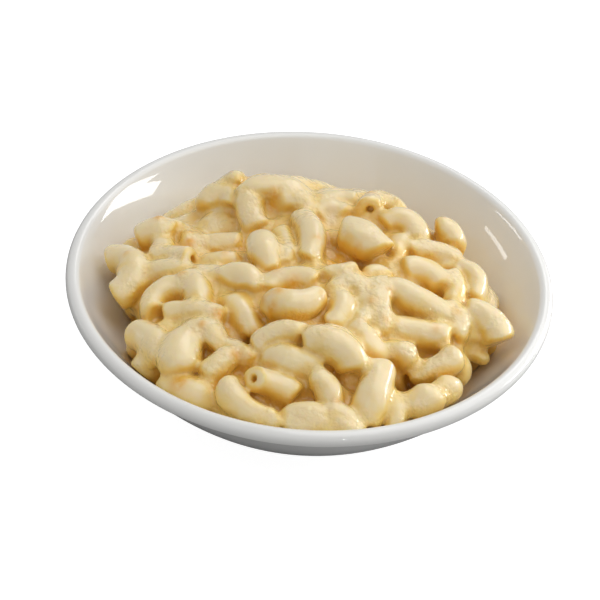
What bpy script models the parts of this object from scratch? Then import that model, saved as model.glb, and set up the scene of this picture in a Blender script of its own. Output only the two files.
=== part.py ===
"""A small glazed bowl heaped with macaroni in cheese sauce.

Two solids: the bowl, turned about +Z from one closed profile, and the heap of
sauced elbows that fills it. The frame's origin is at the middle of the foot,
on the surface that the bowl stands on. Dimensions are in millimetres and
become metres when a mesh is made.
"""

import math

import bmesh
import bpy
import numpy as np

MM = 0.001

# Bowl
RIM_RADIUS = 66.5  # outermost reach of the rolled rim
BOWL_HEIGHT = 38.0
ROLL_RADIUS = 2.1  # the rim is a bead of this radius
ROLL_INNER_TURN = math.radians(148)  # where the bead runs into the inside wall
ROLL_OUTER_TURN = math.radians(-100)  # where it tucks under, over the outside wall
FOOT_RADIUS = 34.0
FOOT_WIDTH = 4.0
FOOT_HEIGHT = 2.5
FOOT_ROUNDING = 0.6
BASE_RECESS = 2.0  # the underside inside the foot stands this high
FLOOR_HEIGHT = 6.0  # the inside, at its middle
INSIDE_SWELL = 3.23  # exponents of the wall curves: higher stays flat for longer
OUTSIDE_SWELL = 2.6
BOWL_SIDES = 64
INSIDE_STEPS = 10
OUTSIDE_STEPS = 7
ROLL_STEPS = 8

# Heap
BOWL_GAP = 0.4  # kept between the food and the glaze
HEAP_REACH = 53.5  # how far out the food lies, on average
HEAP_SHIFT = (-2.5, -4.5)  # it lies off the bowl's middle by this, towards the front left
EDGE_HEIGHT = 38.0  # height of the elbows' backs, before they round off to the wall
CROWN_RISE = 7.0  # the middle stands this far above them
SHOULDER = 9.0  # width over which the heap rounds off to the wall
RELIEF_FADE = 4.0  # width over which the elbows' relief fades out at the wall
BACK_SHOULDER = 26.0  # the same along the back, where it slopes down
HEAP_RINGS = 26  # rings of the top's triangle net, one cell being about 2 mm
UNDERSIDE_RINGS = (0.92, 0.78, 0.6, 0.36)  # shares of the reach
SAUCE_DEPTH = 6.5  # the sauce bed between the elbows lies this far below their backs

# Bulges and bays of the heap's outline: bearing, reach, width
BULGES = (
    (math.radians(-8), 4.5, math.radians(12)),
    (math.radians(-38), -3.5, math.radians(14)),
    (math.radians(45), -2.0, math.radians(20)),
    (math.radians(163), 1.5, math.radians(14)),
)

# Mounds and hollows that make the heap uneven: x, y, rise, spread
LUMPS = (
    (-15.0, 31.0, 7.5, 9.0),
    (13.0, 29.0, 3.0, 8.0),
    (31.0, 25.0, 3.5, 7.0),
    (8.0, -4.0, 2.0, 11.0),
    (2.0, -30.0, 3.0, 10.0),
    (-25.0, 13.0, -4.0, 7.0),
    (28.0, -28.0, -4.0, 6.0),
)

# Elbows
TUBE_RADIUS = 4.4
BEND_RADIUS = 8.0  # to the middle of the tube
HALF_BEND = math.radians(66)  # an elbow turns through twice this
ELBOW_COUNT = 78
GOLDEN_ANGLE = math.pi * (3 - math.sqrt(5))
HEADING_SEED = 11


def inside_height(radius):
    """Height of the bowl's inside at a radius: flat in the middle, steep at the rim."""
    top_radius, top_height = roll_point(ROLL_INNER_TURN)
    share = radius / top_radius
    return FLOOR_HEIGHT + (top_height - FLOOR_HEIGHT) * share**INSIDE_SWELL


def outside_height(radius):
    """Height of the bowl's outside at a radius, from the foot to under the rim."""
    top_radius, top_height = roll_point(ROLL_OUTER_TURN)
    low, high = FOOT_RADIUS**OUTSIDE_SWELL, top_radius**OUTSIDE_SWELL
    share = (radius**OUTSIDE_SWELL - low) / (high - low)
    return FOOT_HEIGHT + (top_height - FOOT_HEIGHT) * share


def roll_point(turn):
    """The point of the rim's bead that faces the angle turn, 0 being outwards."""
    return (
        RIM_RADIUS - ROLL_RADIUS + ROLL_RADIUS * math.cos(turn),
        BOWL_HEIGHT - ROLL_RADIUS + ROLL_RADIUS * math.sin(turn),
    )


def corner_arc(centre, start, end, steps=3):
    """Points of a small rounding from one angle, in degrees, to another."""
    turns = np.radians(np.linspace(start, end, steps))
    return [
        (centre[0] + FOOT_ROUNDING * math.cos(t), centre[1] + FOOT_ROUNDING * math.sin(t))
        for t in turns
    ]


def bowl_profile():
    """Half section from the inside's middle, over the rim, down and under to the axis."""
    inner_top = roll_point(ROLL_INNER_TURN)[0]
    outer_top = roll_point(ROLL_OUTER_TURN)[0]
    # More points towards the rim, where the wall bends most
    inside_radii = inner_top * np.linspace(0, 1, INSIDE_STEPS, endpoint=False) ** 0.7
    points = [(r, inside_height(r)) for r in inside_radii]
    points += [roll_point(t) for t in np.linspace(ROLL_INNER_TURN, ROLL_OUTER_TURN, ROLL_STEPS)]
    outside_radii = np.linspace(outer_top, FOOT_RADIUS, OUTSIDE_STEPS + 1)[1:]
    points += [(r, outside_height(r)) for r in outside_radii]
    foot_inner = FOOT_RADIUS - FOOT_WIDTH
    points += corner_arc((FOOT_RADIUS - FOOT_ROUNDING, FOOT_ROUNDING), 0, -90)
    points += corner_arc((foot_inner + FOOT_ROUNDING, FOOT_ROUNDING), -90, -180)
    points += [(foot_inner - FOOT_ROUNDING, BASE_RECESS), (0.0, BASE_RECESS)]
    return points


def add_object(name, mesh, material):
    mesh.materials.append(material)
    obj = bpy.data.objects.new(name, mesh)
    bpy.context.scene.collection.objects.link(obj)
    return obj


def make_material(name, colour, roughness):
    material = bpy.data.materials.new(name)
    material.use_nodes = True
    shader = material.node_tree.nodes["Principled BSDF"]
    shader.inputs["Base Color"].default_value = (*colour, 1.0)
    shader.inputs["Roughness"].default_value = roughness
    shader.inputs["Metallic"].default_value = 0.0
    return material


def make_bowl():
    """The profile, turned about +Z by a Screw modifier."""
    points = bowl_profile()
    mesh = bpy.data.meshes.new("bowl")
    vertices = [(r * MM, 0.0, z * MM) for r, z in points]
    edges = [(i, i + 1) for i in range(len(points) - 1)]
    mesh.from_pydata(vertices, edges, [])
    bowl = add_object("bowl", mesh, make_material("glaze", (0.86, 0.85, 0.82), 0.12))
    turn = bowl.modifiers.new("turn", "SCREW")
    turn.axis = "Z"
    turn.steps = BOWL_SIDES
    turn.render_steps = BOWL_SIDES
    turn.use_merge_vertices = True
    turn.merge_threshold = 0.00005
    turn.use_smooth_shade = True
    return bowl


def heap_reach(bearing):
    """How far out the food lies at a bearing: a shifted disc with bulges and bays."""
    reach = HEAP_REACH + HEAP_SHIFT[0] * np.cos(bearing) + HEAP_SHIFT[1] * np.sin(bearing)
    for middle, rise, width in BULGES:
        turn = (bearing - middle + math.pi) % (2 * math.pi) - math.pi
        reach += rise * np.exp(-((turn / width) ** 2) / 2)
    return reach + 0.8 * np.cos(11 * bearing) + 0.5 * np.sin(17 * bearing)


def mound(x, y):
    """Height of the elbows' backs: a dome with lumps and hollows that rounds off to the wall."""
    radius, bearing = np.hypot(x, y), np.arctan2(y, x)
    dome = EDGE_HEIGHT + CROWN_RISE * (1 - (radius / 50.0) ** 2)
    for lump_x, lump_y, rise, spread in LUMPS:
        dome += rise * np.exp(-((x - lump_x) ** 2 + (y - lump_y) ** 2) / (2 * spread**2))
    reach = heap_reach(bearing)
    shoulder = SHOULDER + (BACK_SHOULDER - SHOULDER) * np.clip(np.sin(bearing), 0, 1)
    inwards = np.clip((reach - radius) / shoulder, 0, 1)
    contact = inside_height(reach)
    return contact + (dome - contact) * np.sqrt(1 - (1 - inwards) ** 2)


def elbow_places():
    """Middle, heading and depth of each elbow, spread evenly over the heap in a spiral."""
    rng = np.random.default_rng(HEADING_SEED)
    order = np.arange(ELBOW_COUNT)
    bearing = order * GOLDEN_ANGLE
    distance = (heap_reach(bearing) - TUBE_RADIUS) * np.sqrt((order + 0.5) / ELBOW_COUNT)
    heading = rng.uniform(0, 2 * math.pi, ELBOW_COUNT)
    sunk = rng.uniform(0.0, 3.0, ELBOW_COUNT)
    return zip(distance * np.cos(bearing), distance * np.sin(bearing), heading, sunk)


def distance_to_elbow(x, y, middle_x, middle_y, heading):
    """Distance, in plan, to the centre line of an elbow that lies flat: an arc."""
    # The arc bulges towards the heading, and its own middle is the place given
    centre_x = middle_x - BEND_RADIUS * math.cos(heading)
    centre_y = middle_y - BEND_RADIUS * math.sin(heading)
    turn = np.arctan2(y - centre_y, x - centre_x) - heading
    turn = (turn + math.pi) % (2 * math.pi) - math.pi
    turn = np.clip(turn, -HALF_BEND, HALF_BEND) + heading
    near_x = centre_x + BEND_RADIUS * np.cos(turn)
    near_y = centre_y + BEND_RADIUS * np.sin(turn)
    return np.hypot(x - near_x, y - near_y)


def heap_top(x, y):
    """The mound with its elbows: tubes standing out of a sauce bed that lies lower."""
    depth = np.full_like(x, SAUCE_DEPTH)
    for middle_x, middle_y, heading, sunk in elbow_places():
        away = distance_to_elbow(x, y, middle_x, middle_y, heading)
        below_back = TUBE_RADIUS - np.sqrt(np.clip(TUBE_RADIUS**2 - away**2, 0, None))
        depth = np.minimum(depth, np.where(away < TUBE_RADIUS, sunk + below_back, SAUCE_DEPTH))
    from_edge = heap_reach(np.arctan2(y, x)) - np.hypot(x, y)
    return mound(x, y) - depth * np.clip(from_edge / RELIEF_FADE, 0, 1)


def triangle_net(rings):
    """A disc of radius 1 as rings of 6, 12, 18... points: points and triangles."""
    points = [(0.0, 0.0)]
    for ring in range(1, rings + 1):
        bearings = np.linspace(0, 2 * math.pi, 6 * ring, endpoint=False)
        points += [(ring / rings * math.cos(b), ring / rings * math.sin(b)) for b in bearings]
    triangles = []
    for ring in range(1, rings + 1):
        inner, outer = 6 * (ring - 1), 6 * ring
        inner_start = 1 + 3 * (ring - 1) * (ring - 2) if ring > 1 else 0
        outer_start = 1 + 3 * ring * (ring - 1)
        for side in range(6):
            for step in range(ring):
                a = outer_start + (side * ring + step) % outer
                b = outer_start + (side * ring + step + 1) % outer
                c = inner_start + (side * (ring - 1) + step) % max(inner, 1)
                triangles.append((a, b, c))
                if step < ring - 1:
                    d = inner_start + (side * (ring - 1) + step + 1) % inner
                    triangles.append((b, d, c))
    return np.array(points), triangles


def make_heap():
    """The uneven top, closed by an underside that follows the bowl at the gap."""
    net, triangles = triangle_net(HEAP_RINGS)
    bearing = np.arctan2(net[:, 1], net[:, 0])
    reach = heap_reach(bearing)
    x, y = net[:, 0] * reach, net[:, 1] * reach
    z = np.maximum(heap_top(x, y), inside_height(np.hypot(x, y)) + BOWL_GAP)
    edge = 6 * HEAP_RINGS
    edge_bearing, edge_reach = bearing[-edge:], reach[-edge:]
    vertices = list(zip(x, y, z))

    outer_start = len(vertices) - edge
    for share in UNDERSIDE_RINGS:
        radius = edge_reach * share
        ring_start = len(vertices)
        height = inside_height(radius) + BOWL_GAP
        vertices += list(zip(radius * np.cos(edge_bearing), radius * np.sin(edge_bearing), height))
        for i in range(edge):
            j = (i + 1) % edge
            triangles.append((outer_start + i, ring_start + i, ring_start + j))
            triangles.append((outer_start + i, ring_start + j, outer_start + j))
        outer_start = ring_start
    middle = len(vertices)
    vertices.append((0.0, 0.0, FLOOR_HEIGHT + BOWL_GAP))
    triangles += [(outer_start + i, middle, outer_start + (i + 1) % edge) for i in range(edge)]

    mesh = bpy.data.meshes.new("macaroni_heap")
    mesh.from_pydata([tuple(c * MM for c in vertex) for vertex in vertices], [], triangles)
    net_mesh = bmesh.new()
    net_mesh.from_mesh(mesh)
    bmesh.ops.recalc_face_normals(net_mesh, faces=net_mesh.faces)
    net_mesh.to_mesh(mesh)
    net_mesh.free()
    mesh.shade_smooth()
    return add_object("macaroni_heap", mesh, make_material("sauced_pasta", (0.83, 0.66, 0.38), 0.35))


def main():
    for obj in list(bpy.data.objects):
        bpy.data.objects.remove(obj)
    make_bowl()
    make_heap()


main()
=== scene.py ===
import math

import bpy
import numpy as np
from mathutils import Matrix, Vector


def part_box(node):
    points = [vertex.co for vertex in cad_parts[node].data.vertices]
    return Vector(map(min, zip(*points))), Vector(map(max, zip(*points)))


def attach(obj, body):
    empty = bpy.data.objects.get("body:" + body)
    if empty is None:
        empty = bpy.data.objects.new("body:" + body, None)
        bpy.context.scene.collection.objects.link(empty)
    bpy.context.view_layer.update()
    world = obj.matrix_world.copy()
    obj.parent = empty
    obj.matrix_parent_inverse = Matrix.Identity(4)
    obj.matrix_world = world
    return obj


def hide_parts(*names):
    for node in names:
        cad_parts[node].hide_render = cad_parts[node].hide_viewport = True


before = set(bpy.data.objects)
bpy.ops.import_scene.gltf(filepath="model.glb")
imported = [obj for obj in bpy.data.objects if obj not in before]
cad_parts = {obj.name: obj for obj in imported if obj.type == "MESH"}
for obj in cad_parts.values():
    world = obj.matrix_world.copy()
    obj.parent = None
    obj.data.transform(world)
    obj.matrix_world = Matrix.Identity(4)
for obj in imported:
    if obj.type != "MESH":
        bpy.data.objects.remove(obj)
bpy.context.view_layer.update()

# A small white bowl heaped with elbow macaroni in cheese sauce.
# Lengths are in millimetres from the middle of the foot, and become metres when a mesh is made.

mm = 0.001
bowlLow, bowlHigh = [np.array(corner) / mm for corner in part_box("bowl")]
heapLow, heapHigh = [np.array(corner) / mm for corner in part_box("macaroni_heap")]

scene = bpy.context.scene


def smoothMin(a, b, width):  # the lower of two, rounded over where they are within the width
    share = np.clip(0.5 + 0.5 * (b - a) / width, 0, 1)
    return b + (a - b) * share - width * share * (1 - share)


def smoothMax(a, b, width):  # the higher of two, rounded in the same way
    return -smoothMin(-a, -b, width)


def smoothStep(low, high, value):  # share^2 * (3 - 2 * share), with share going from 0 at low to 1 at high
    share = np.clip((value - low) / (high - low), 0, 1)
    return share * share * (3 - 2 * share)


def unit(vector):
    return vector / np.linalg.norm(vector)


def makeMesh(name, points, faces):  # points in mm, faces as rows of point numbers
    mesh = bpy.data.meshes.new(name)
    faces = np.asarray(faces, dtype=np.int32)
    count, corners = faces.shape
    mesh.vertices.add(len(points))
    mesh.vertices.foreach_set("co", (np.asarray(points) * mm).astype(np.float32).ravel())
    mesh.loops.add(count * corners)
    mesh.loops.foreach_set("vertex_index", faces.ravel())
    mesh.polygons.add(count)
    mesh.polygons.foreach_set("loop_start", np.arange(0, count * corners, corners, dtype=np.int32))
    mesh.polygons.foreach_set("use_smooth", np.ones(count, dtype=bool))
    mesh.update(calc_edges=True)
    mesh.validate()
    piece = bpy.data.objects.new(name, mesh)
    scene.collection.objects.link(piece)
    return piece


def putAttribute(piece, name, values):
    attribute = piece.data.attributes.new(name, "FLOAT", "POINT")
    attribute.data.foreach_set("value", np.asarray(values, dtype=np.float32))


bowl = {
    "height": 38.0,
    "rollRadius": 2.1,  # the bead of the rim
    "innerTurn": math.radians(148),  # where the bead meets the inside wall
    "outerTurn": math.radians(-100),  # where it tucks under
    "footRadius": 34.0,
    "footWidth": 4.0,
    "footHeight": 2.5,
    "footRounding": 0.7,
    "baseRecess": 2.0,
    "floorHeight": 6.0,
    "insideSwell": 3.23,  # a higher power keeps the floor flat for longer
    "outsideSwell": 2.6,
    "insideRings": 40,
    "insideCrowding": 0.75,  # under 1, the rings crowd towards the rim
    "rollRings": 22,
    "outsideRings": 30,
    "cornerRings": 5,
    "sides": 192,
}
rimRadius = bowlHigh[0]


def rollPoint(turn):  # a point of the bead's circle, where turn 0 faces outwards
    size = bowl["rollRadius"]
    return rimRadius - size + size * np.cos(turn), bowl["height"] - size + size * np.sin(turn)


def insideHeight(radius):  # height = floor + rise * (radius / top radius) ^ swell
    topRadius, topHeight = rollPoint(bowl["innerTurn"])
    share = np.asarray(radius) / topRadius
    return bowl["floorHeight"] + (topHeight - bowl["floorHeight"]) * share ** bowl["insideSwell"]


def outsideHeight(radius):  # foot + rise * (radius ^ swell, measured from the foot's to the top's)
    topRadius, topHeight = rollPoint(bowl["outerTurn"])
    power = bowl["outsideSwell"]
    low, high = bowl["footRadius"] ** power, topRadius**power
    rise = (topHeight - bowl["footHeight"]) * (np.asarray(radius) ** power - low) / (high - low)
    return bowl["footHeight"] + rise


def roundCorner(radius, height, start, end):  # an arc of the foot's rounding, angles in degrees
    turn = np.radians(np.linspace(start, end, bowl["cornerRings"]))
    size = bowl["footRounding"]
    return np.column_stack([radius + size * np.cos(turn), height + size * np.sin(turn)])


def bowlProfile():  # the half section from the inside's middle, over the rim and under to the axis
    innerTop = rollPoint(bowl["innerTurn"])[0]
    outerTop = rollPoint(bowl["outerTurn"])[0]
    shares = np.linspace(0, 1, bowl["insideRings"], endpoint=False)[1:]
    insideRadii = innerTop * shares ** bowl["insideCrowding"]
    roll = np.linspace(bowl["innerTurn"], bowl["outerTurn"], bowl["rollRings"])
    outsideRadii = np.linspace(outerTop, bowl["footRadius"], bowl["outsideRings"])[1:]
    footInner = bowl["footRadius"] - bowl["footWidth"]
    size = bowl["footRounding"]
    return np.vstack([
        np.column_stack([insideRadii, insideHeight(insideRadii)]),
        np.column_stack(rollPoint(roll)),
        np.column_stack([outsideRadii, outsideHeight(outsideRadii)]),
        roundCorner(bowl["footRadius"] - size, size, 0, -90),
        roundCorner(footInner + size, size, -90, -180),
        [[footInner - size, bowl["baseRecess"]], [footInner / 2, bowl["baseRecess"]]],
    ])


def turnProfile(name, profile, sides):
    # Each point of the half section, turned about the axis in equal steps, is
    # (radius * cos turn, radius * sin turn, height). A fan closes the axis at each end.
    turn = np.linspace(0, 2 * np.pi, sides, endpoint=False)
    radius, height = profile[:, 0, None], profile[:, 1, None]
    heights = np.broadcast_to(height, (len(profile), sides))
    points = np.stack([radius * np.cos(turn), radius * np.sin(turn), heights], -1).reshape(-1, 3)
    row = np.arange(len(profile) - 1)[:, None] * sides
    step = np.arange(sides)
    after = (step + 1) % sides
    quads = np.stack([row + step, row + sides + step, row + sides + after, row + after], -1).reshape(-1, 4)
    first, last = len(points), len(points) + 1
    lastRow = (len(profile) - 1) * sides
    points = np.vstack([points, [0, 0, profile[0, 1]], [0, 0, profile[-1, 1]]])
    firstFan = np.column_stack([np.full(sides, first), step, after])
    lastFan = np.column_stack([np.full(sides, last), lastRow + after, lastRow + step])
    piece = makeMesh(name, points, quads)
    addTriangles(piece, np.vstack([firstFan, lastFan]))
    return piece, points


def addTriangles(piece, triangles):  # adds rows of three point numbers to a mesh of quads
    mesh = piece.data
    start, faceStart = len(mesh.loops), len(mesh.polygons)
    mesh.loops.add(triangles.size)
    mesh.polygons.add(len(triangles))
    index = np.empty(len(mesh.loops), dtype=np.int32)
    mesh.loops.foreach_get("vertex_index", index)
    index[start:] = triangles.ravel()
    mesh.loops.foreach_set("vertex_index", index)
    loopStart = np.empty(len(mesh.polygons), dtype=np.int32)
    mesh.polygons.foreach_get("loop_start", loopStart)
    loopStart[faceStart:] = start + 3 * np.arange(len(triangles))
    mesh.polygons.foreach_set("loop_start", loopStart)
    mesh.polygons.foreach_set("use_smooth", np.ones(len(mesh.polygons), dtype=bool))
    mesh.update(calc_edges=True)
    mesh.validate()


heap = {
    "edgeHeight": 38.0,  # height of the elbows' backs towards the wall
    "crownRise": 7.0,
    "crownSpan": 50.0,  # the crown's rise is used up at this radius
    "reach": 53.5,
    "shift": (-2.5, -4.5),
    "widest": 59.0,  # nothing lies past this radius
    "shoulder": 9.0,  # width of the rounding at the heap's edge
    "backShoulder": 26.0,
    "bottom": 20.0,
    "wallGap": 0.3,
    "bulges": [  # bearing, reach, width
        (-8, 4.5, 12), (-38, -3.5, 14), (45, -2.0, 20), (163, 1.5, 14), (200, -8, 7), (187, -4, 6),
        (-26, -2.5, 7),
    ],
    "lumps": [  # x, y, rise, spread
        (-15, 31, 7.5, 9), (13, 29, 3, 8), (31, 25, 3.5, 7), (8, -4, 2, 11),
        (2, -30, 3, 10), (-25, 13, -4, 7), (28, -28, -4, 6),
    ],
    "pits": [  # x, y, depth, spread: where the sauce has sunk between the elbows
        (8, 2, 5, 3.5), (15, 0, 4, 3.5), (-46, -19, 6, 3.5), (-46, 6, 4, 2.5), (26.2, -37.5, 13, 3.4),
        (-3, -53, 7, 2.5), (-17, -53, 5, 2.5), (-4, -27.5, 6, 2.2), (-14, -30.5, 6, 2.5), (32, -26, 3, 2),
        (25, -17, 3, 2.5), (33, -5, 4, 2.5), (-20, 13, 4, 3), (-19, -22, 4, 3), (47, -23.5, 7, 2.5),
        (-11.5, 20.5, 4, 2.0), (-24, -34, 5, 2.2), (3, -47, 3, 2), (8.5, -40, 4, 2.0),
    ],
}


def addMounds(height, x, y, mounds):  # adds rise * exp(-distance^2 / (2 * spread^2)) for each
    for middleX, middleY, rise, spread in mounds:
        height = height + rise * np.exp(-((x - middleX) ** 2 + (y - middleY) ** 2) / (2 * spread**2))
    return height


def domeHeight(x, y):  # edge + crown * (1 - (radius / span)^2), with lumps and hollows
    height = heap["edgeHeight"] + heap["crownRise"] * (1 - (x * x + y * y) / heap["crownSpan"] ** 2)
    return addMounds(height, x, y, heap["lumps"])


def heapReach(bearing):  # a shifted disc, and rise * exp(-(turn / width)^2 / 2) for each bulge
    reach = heap["reach"] + heap["shift"][0] * np.cos(bearing) + heap["shift"][1] * np.sin(bearing)
    for middle, rise, width in heap["bulges"]:
        turn = (bearing - math.radians(middle) + np.pi) % (2 * np.pi) - np.pi
        reach = reach + rise * np.exp(-((turn / math.radians(width)) ** 2) / 2)
    return reach


def pitDepth(x, y):
    return addMounds(0, x, y, heap["pits"])


def moundHeight(x, y):  # contact with the wall + (dome - contact) * sqrt(1 - (1 - way in)^2)
    radius, bearing = np.hypot(x, y), np.arctan2(y, x)
    reach = heapReach(bearing)
    shoulder = heap["shoulder"] + (heap["backShoulder"] - heap["shoulder"]) * np.clip(np.sin(bearing), 0, 1)
    inwards = np.clip((reach - radius) / shoulder, 0, 1)
    contact = insideHeight(reach)
    return contact + (domeHeight(x, y) - contact) * np.sqrt(1 - (1 - inwards) ** 2)


def backsHeight(x, y):  # the mound, and 0 beside it
    return np.where(np.hypot(x, y) < heap["widest"], moundHeight(x, y), 0)


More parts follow.
